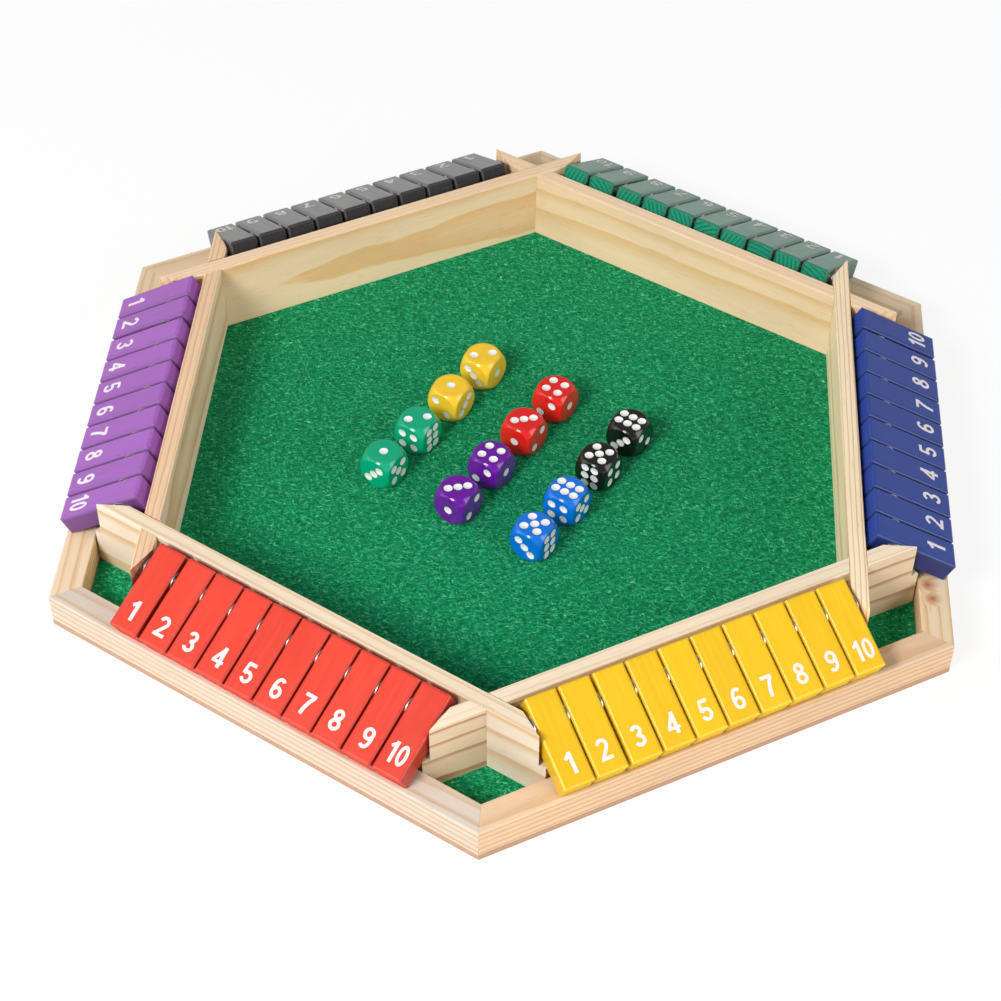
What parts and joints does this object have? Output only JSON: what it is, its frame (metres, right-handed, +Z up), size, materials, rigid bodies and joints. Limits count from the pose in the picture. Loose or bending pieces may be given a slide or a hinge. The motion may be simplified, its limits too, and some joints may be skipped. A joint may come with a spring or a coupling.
{
  "type": "hexagonal shut the box game board",
  "caption": "Hexagonal pine shut the box board with a felt-lined dice tray, a hinged row of numbered wooden tiles on every side, corner pockets and loose dice.",
  "frame": {"origin": "centre of the base panel's underside", "axes": "+Z up, out of the tray; +Y from the front corner to the back corner, the longest way across; +X to the right, across the flat sides"},
  "size_m": [0.3844, 0.4398, 0.0426],
  "materials": {
    "panel": "thin fibre panel, bare edge",
    "felt": "short needled felt",
    "pine": "planed pine, clear satin",
    "steel": "bright zinc plated",
    "tile_yellow": "stained and lacquered wood",
    "tile_blue": "stained and lacquered wood",
    "tile_green": "stained and lacquered wood",
    "tile_black": "stained and lacquered wood",
    "tile_purple": "stained and lacquered wood",
    "tile_red": "stained and lacquered wood",
    "die_yellow": "polished opaque plastic",
    "die_blue": "polished opaque plastic",
    "die_green": "polished opaque plastic",
    "die_black": "polished opaque plastic",
    "die_purple": "polished opaque plastic",
    "die_red": "polished opaque plastic"
  },
  "bodies": {
    "board": {"base_panel": "panel", "felt_mat": "felt", "rim_rails": "pine", "wall_yellow": "pine", "wall_blue": "pine", "wall_green": "pine", "wall_black": "pine", "wall_purple": "pine", "wall_red": "pine", "pivot_rods": "steel", "spacer_washers": "steel", "base_screws": "steel"},
    "tile_yellow_1_body": {"tile_yellow_1": "tile_yellow"},
    "tile_yellow_2_body": {"tile_yellow_2": "tile_yellow"},
    "tile_yellow_3_body": {"tile_yellow_3": "tile_yellow"},
    "tile_yellow_4_body": {"tile_yellow_4": "tile_yellow"},
    "tile_yellow_5_body": {"tile_yellow_5": "tile_yellow"},
    "tile_yellow_6_body": {"tile_yellow_6": "tile_yellow"},
    "tile_yellow_7_body": {"tile_yellow_7": "tile_yellow"},
    "tile_yellow_8_body": {"tile_yellow_8": "tile_yellow"},
    "tile_yellow_9_body": {"tile_yellow_9": "tile_yellow"},
    "tile_yellow_10_body": {"tile_yellow_10": "tile_yellow"},
    "tile_blue_1_body": {"tile_blue_1": "tile_blue"},
    "tile_blue_2_body": {"tile_blue_2": "tile_blue"},
    "tile_blue_3_body": {"tile_blue_3": "tile_blue"},
    "tile_blue_4_body": {"tile_blue_4": "tile_blue"},
    "tile_blue_5_body": {"tile_blue_5": "tile_blue"},
    "tile_blue_6_body": {"tile_blue_6": "tile_blue"},
    "tile_blue_7_body": {"tile_blue_7": "tile_blue"},
    "tile_blue_8_body": {"tile_blue_8": "tile_blue"},
    "tile_blue_9_body": {"tile_blue_9": "tile_blue"},
    "tile_blue_10_body": {"tile_blue_10": "tile_blue"},
    "tiles_green_row": {"tiles_green": "tile_green"},
    "tiles_black_row": {"tiles_black": "tile_black"},
    "tile_purple_1_body": {"tile_purple_1": "tile_purple"},
    "tile_purple_2_body": {"tile_purple_2": "tile_purple"},
    "tile_purple_3_body": {"tile_purple_3": "tile_purple"},
    "tile_purple_4_body": {"tile_purple_4": "tile_purple"},
    "tile_purple_5_body": {"tile_purple_5": "tile_purple"},
    "tile_purple_6_body": {"tile_purple_6": "tile_purple"},
    "tile_purple_7_body": {"tile_purple_7": "tile_purple"},
    "tile_purple_8_body": {"tile_purple_8": "tile_purple"},
    "tile_purple_9_body": {"tile_purple_9": "tile_purple"},
    "tile_purple_10_body": {"tile_purple_10": "tile_purple"},
    "tile_red_1_body": {"tile_red_1": "tile_red"},
    "tile_red_2_body": {"tile_red_2": "tile_red"},
    "tile_red_3_body": {"tile_red_3": "tile_red"},
    "tile_red_4_body": {"tile_red_4": "tile_red"},
    "tile_red_5_body": {"tile_red_5": "tile_red"},
    "tile_red_6_body": {"tile_red_6": "tile_red"},
    "tile_red_7_body": {"tile_red_7": "tile_red"},
    "tile_red_8_body": {"tile_red_8": "tile_red"},
    "tile_red_9_body": {"tile_red_9": "tile_red"},
    "tile_red_10_body": {"tile_red_10": "tile_red"},
    "dice_yellow_pair": {"dice_yellow": "die_yellow"},
    "dice_green_pair": {"dice_green": "die_green"},
    "dice_red_pair": {"dice_red": "die_red"},
    "dice_purple_pair": {"dice_purple": "die_purple"},
    "dice_black_pair": {"dice_black": "die_black"},
    "dice_blue_pair": {"dice_blue": "die_blue"}
  },
  "joints": [
    {"name": "tile_yellow_1_flip", "type": "hinge", "parent": "board", "child": "tile_yellow_1_body", "pos_m": [0.08218, -0.14234, 0.0338], "axis": [-0.866, -0.5, 0], "range_deg": [0, 156]},
    {"name": "tile_yellow_2_flip", "type": "hinge", "parent": "board", "child": "tile_yellow_2_body", "pos_m": [0.08218, -0.14234, 0.0338], "axis": [-0.866, -0.5, 0], "range_deg": [0, 156]},
    {"name": "tile_yellow_3_flip", "type": "hinge", "parent": "board", "child": "tile_yellow_3_body", "pos_m": [0.08218, -0.14234, 0.0338], "axis": [-0.866, -0.5, 0], "range_deg": [0, 156]},
    {"name": "tile_yellow_4_flip", "type": "hinge", "parent": "board", "child": "tile_yellow_4_body", "pos_m": [0.08218, -0.14234, 0.0338], "axis": [-0.866, -0.5, 0], "range_deg": [0, 156]},
    {"name": "tile_yellow_5_flip", "type": "hinge", "parent": "board", "child": "tile_yellow_5_body", "pos_m": [0.08218, -0.14234, 0.0338], "axis": [-0.866, -0.5, 0], "range_deg": [0, 156]},
    {"name": "tile_yellow_6_flip", "type": "hinge", "parent": "board", "child": "tile_yellow_6_body", "pos_m": [0.08218, -0.14234, 0.0338], "axis": [-0.866, -0.5, 0], "range_deg": [0, 156]},
    {"name": "tile_yellow_7_flip", "type": "hinge", "parent": "board", "child": "tile_yellow_7_body", "pos_m": [0.08218, -0.14234, 0.0338], "axis": [-0.866, -0.5, 0], "range_deg": [0, 156]},
    {"name": "tile_yellow_8_flip", "type": "hinge", "parent": "board", "child": "tile_yellow_8_body", "pos_m": [0.08218, -0.14234, 0.0338], "axis": [-0.866, -0.5, 0], "range_deg": [0, 156]},
    {"name": "tile_yellow_9_flip", "type": "hinge", "parent": "board", "child": "tile_yellow_9_body", "pos_m": [0.08218, -0.14234, 0.0338], "axis": [-0.866, -0.5, 0], "range_deg": [0, 156]},
    {"name": "tile_yellow_10_flip", "type": "hinge", "parent": "board", "child": "tile_yellow_10_body", "pos_m": [0.08218, -0.14234, 0.0338], "axis": [-0.866, -0.5, 0], "range_deg": [0, 156]},
    {"name": "tile_blue_1_flip", "type": "hinge", "parent": "board", "child": "tile_blue_1_body", "pos_m": [0.16437, 0, 0.0338], "axis": [0, -1, 0], "range_deg": [0, 156]},
    {"name": "tile_blue_2_flip", "type": "hinge", "parent": "board", "child": "tile_blue_2_body", "pos_m": [0.16437, 0, 0.0338], "axis": [0, -1, 0], "range_deg": [0, 156]},
    {"name": "tile_blue_3_flip", "type": "hinge", "parent": "board", "child": "tile_blue_3_body", "pos_m": [0.16437, 0, 0.0338], "axis": [0, -1, 0], "range_deg": [0, 156]},
    {"name": "tile_blue_4_flip", "type": "hinge", "parent": "board", "child": "tile_blue_4_body", "pos_m": [0.16437, 0, 0.0338], "axis": [0, -1, 0], "range_deg": [0, 156]},
    {"name": "tile_blue_5_flip", "type": "hinge", "parent": "board", "child": "tile_blue_5_body", "pos_m": [0.16437, 0, 0.0338], "axis": [0, -1, 0], "range_deg": [0, 156]},
    {"name": "tile_blue_6_flip", "type": "hinge", "parent": "board", "child": "tile_blue_6_body", "pos_m": [0.16437, 0, 0.0338], "axis": [0, -1, 0], "range_deg": [0, 156]},
    {"name": "tile_blue_7_flip", "type": "hinge", "parent": "board", "child": "tile_blue_7_body", "pos_m": [0.16437, 0, 0.0338], "axis": [0, -1, 0], "range_deg": [0, 156]},
    {"name": "tile_blue_8_flip", "type": "hinge", "parent": "board", "child": "tile_blue_8_body", "pos_m": [0.16437, 0, 0.0338], "axis": [0, -1, 0], "range_deg": [0, 156]},
    {"name": "tile_blue_9_flip", "type": "hinge", "parent": "board", "child": "tile_blue_9_body", "pos_m": [0.16437, 0, 0.0338], "axis": [0, -1, 0], "range_deg": [0, 156]},
    {"name": "tile_blue_10_flip", "type": "hinge", "parent": "board", "child": "tile_blue_10_body", "pos_m": [0.16437, 0, 0.0338], "axis": [0, -1, 0], "range_deg": [0, 156]},
    {"name": "tiles_green_flip", "type": "hinge", "parent": "board", "child": "tiles_green_row", "pos_m": [0.08218, 0.14234, 0.0338], "axis": [0.866, -0.5, 0], "range_deg": [0, 156]},
    {"name": "tiles_black_flip", "type": "hinge", "parent": "board", "child": "tiles_black_row", "pos_m": [-0.08218, 0.14234, 0.0338], "axis": [0.866, 0.5, 0], "range_deg": [0, 156]},
    {"name": "tile_purple_1_flip", "type": "hinge", "parent": "board", "child": "tile_purple_1_body", "pos_m": [-0.16437, 0, 0.0338], "axis": [0, 1, 0], "range_deg": [0, 156]},
    {"name": "tile_purple_2_flip", "type": "hinge", "parent": "board", "child": "tile_purple_2_body", "pos_m": [-0.16437, 0, 0.0338], "axis": [0, 1, 0], "range_deg": [0, 156]},
    {"name": "tile_purple_3_flip", "type": "hinge", "parent": "board", "child": "tile_purple_3_body", "pos_m": [-0.16437, 0, 0.0338], "axis": [0, 1, 0], "range_deg": [0, 156]},
    {"name": "tile_purple_4_flip", "type": "hinge", "parent": "board", "child": "tile_purple_4_body", "pos_m": [-0.16437, 0, 0.0338], "axis": [0, 1, 0], "range_deg": [0, 156]},
    {"name": "tile_purple_5_flip", "type": "hinge", "parent": "board", "child": "tile_purple_5_body", "pos_m": [-0.16437, 0, 0.0338], "axis": [0, 1, 0], "range_deg": [0, 156]},
    {"name": "tile_purple_6_flip", "type": "hinge", "parent": "board", "child": "tile_purple_6_body", "pos_m": [-0.16437, 0, 0.0338], "axis": [0, 1, 0], "range_deg": [0, 156]},
    {"name": "tile_purple_7_flip", "type": "hinge", "parent": "board", "child": "tile_purple_7_body", "pos_m": [-0.16437, 0, 0.0338], "axis": [0, 1, 0], "range_deg": [0, 156]},
    {"name": "tile_purple_8_flip", "type": "hinge", "parent": "board", "child": "tile_purple_8_body", "pos_m": [-0.16437, 0, 0.0338], "axis": [0, 1, 0], "range_deg": [0, 156]},
    {"name": "tile_purple_9_flip", "type": "hinge", "parent": "board", "child": "tile_purple_9_body", "pos_m": [-0.16437, 0, 0.0338], "axis": [0, 1, 0], "range_deg": [0, 156]},
    {"name": "tile_purple_10_flip", "type": "hinge", "parent": "board", "child": "tile_purple_10_body", "pos_m": [-0.16437, 0, 0.0338], "axis": [0, 1, 0], "range_deg": [0, 156]},
    {"name": "tile_red_1_flip", "type": "hinge", "parent": "board", "child": "tile_red_1_body", "pos_m": [-0.08218, -0.14234, 0.0338], "axis": [-0.866, 0.5, 0], "range_deg": [0, 156]},
    {"name": "tile_red_2_flip", "type": "hinge", "parent": "board", "child": "tile_red_2_body", "pos_m": [-0.08218, -0.14234, 0.0338], "axis": [-0.866, 0.5, 0], "range_deg": [0, 156]},
    {"name": "tile_red_3_flip", "type": "hinge", "parent": "board", "child": "tile_red_3_body", "pos_m": [-0.08218, -0.14234, 0.0338], "axis": [-0.866, 0.5, 0], "range_deg": [0, 156]},
    {"name": "tile_red_4_flip", "type": "hinge", "parent": "board", "child": "tile_red_4_body", "pos_m": [-0.08218, -0.14234, 0.0338], "axis": [-0.866, 0.5, 0], "range_deg": [0, 156]},
    {"name": "tile_red_5_flip", "type": "hinge", "parent": "board", "child": "tile_red_5_body", "pos_m": [-0.08218, -0.14234, 0.0338], "axis": [-0.866, 0.5, 0], "range_deg": [0, 156]},
    {"name": "tile_red_6_flip", "type": "hinge", "parent": "board", "child": "tile_red_6_body", "pos_m": [-0.08218, -0.14234, 0.0338], "axis": [-0.866, 0.5, 0], "range_deg": [0, 156]},
    {"name": "tile_red_7_flip", "type": "hinge", "parent": "board", "child": "tile_red_7_body", "pos_m": [-0.08218, -0.14234, 0.0338], "axis": [-0.866, 0.5, 0], "range_deg": [0, 156]},
    {"name": "tile_red_8_flip", "type": "hinge", "parent": "board", "child": "tile_red_8_body", "pos_m": [-0.08218, -0.14234, 0.0338], "axis": [-0.866, 0.5, 0], "range_deg": [0, 156]},
    {"name": "tile_red_9_flip", "type": "hinge", "parent": "board", "child": "tile_red_9_body", "pos_m": [-0.08218, -0.14234, 0.0338], "axis": [-0.866, 0.5, 0], "range_deg": [0, 156]},
    {"name": "tile_red_10_flip", "type": "hinge", "parent": "board", "child": "tile_red_10_body", "pos_m": [-0.08218, -0.14234, 0.0338], "axis": [-0.866, 0.5, 0], "range_deg": [0, 156]},
    {"name": "dice_yellow_lift", "type": "slide", "parent": "board", "child": "dice_yellow_pair", "axis": [0, 0, 1], "range_m": [0, 0.08]},
    {"name": "dice_green_lift", "type": "slide", "parent": "board", "child": "dice_green_pair", "axis": [0, 0, 1], "range_m": [0, 0.08]},
    {"name": "dice_red_lift", "type": "slide", "parent": "board", "child": "dice_red_pair", "axis": [0, 0, 1], "range_m": [0, 0.08]},
    {"name": "dice_purple_lift", "type": "slide", "parent": "board", "child": "dice_purple_pair", "axis": [0, 0, 1], "range_m": [0, 0.08]},
    {"name": "dice_black_lift", "type": "slide", "parent": "board", "child": "dice_black_pair", "axis": [0, 0, 1], "range_m": [0, 0.08]},
    {"name": "dice_blue_lift", "type": "slide", "parent": "board", "child": "dice_blue_pair", "axis": [0, 0, 1], "range_m": [0, 0.08]}
  ]
}
